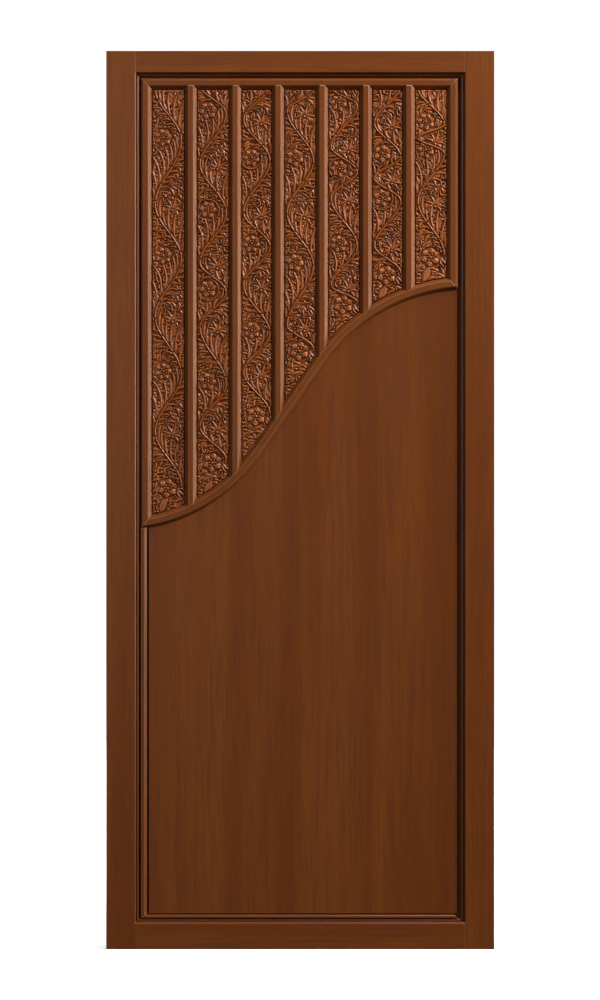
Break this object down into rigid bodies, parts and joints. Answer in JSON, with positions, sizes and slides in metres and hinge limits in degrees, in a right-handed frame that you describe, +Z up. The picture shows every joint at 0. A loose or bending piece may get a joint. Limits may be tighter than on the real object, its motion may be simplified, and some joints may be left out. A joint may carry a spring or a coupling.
{
  "type": "carved temple door",
  "caption": "Wooden temple door leaf with a carved scroll grille over a sweeping curved rail, hung in its own frame with a sill.",
  "frame": {"origin": "middle of the underside of the sill, at mid depth of the frame", "axes": "+X to the viewer's right, +Z up the door, and -Y out of the carved front"},
  "size_m": [0.92, 0.0735, 2.13],
  "materials": {
    "frame_wood": "satin reddish-brown varnish over fine straight grain",
    "leaf_wood": "satin reddish-brown varnish over faint upright grain",
    "grille_wood": "satin reddish-brown varnish, lighter on the worn arrises",
    "carving_wood": "satin reddish-brown varnish, darker in the hollows of the carving",
    "hinge_brass": "brushed, slightly dulled",
    "screw_steel": "zinc-plated"
  },
  "bodies": {
    "frame": {"frame_head": "frame_wood", "frame_jamb_left": "frame_wood", "frame_jamb_right": "frame_wood", "frame_sill": "frame_wood", "hinge_bottom_frame_leaf": "hinge_brass", "hinge_middle_frame_leaf": "hinge_brass", "hinge_screws_frame": "screw_steel", "hinge_top_frame_leaf": "hinge_brass", "stop_bead_bottom": "frame_wood", "stop_bead_left": "frame_wood", "stop_bead_right": "frame_wood", "stop_bead_top": "frame_wood"},
    "leaf": {"carved_panel_1": "carving_wood", "carved_panel_2": "carving_wood", "carved_panel_3": "carving_wood", "carved_panel_4": "carving_wood", "carved_panel_5": "carving_wood", "carved_panel_6": "carving_wood", "carved_panel_7": "carving_wood", "grille_curved_rail": "grille_wood", "grille_left_stile": "grille_wood", "grille_muntin_1": "grille_wood", "grille_muntin_2": "grille_wood", "grille_muntin_3": "grille_wood", "grille_muntin_4": "grille_wood", "grille_muntin_5": "grille_wood", "grille_muntin_6": "grille_wood", "grille_right_stile": "grille_wood", "grille_top_rail": "grille_wood", "hinge_bottom_door_leaf": "hinge_brass", "hinge_middle_door_leaf": "hinge_brass", "hinge_screws_leaf": "screw_steel", "hinge_top_door_leaf": "hinge_brass", "leaf_board": "leaf_wood", "lower_bead_bottom": "leaf_wood", "lower_bead_left": "leaf_wood"}
  },
  "joints": [
    {"name": "leaf_swing", "type": "hinge", "parent": "frame", "child": "leaf", "pos_m": [-0.388, 0.037, 0], "axis": [0, 0, 1], "range_deg": [0, 105]}
  ]
}
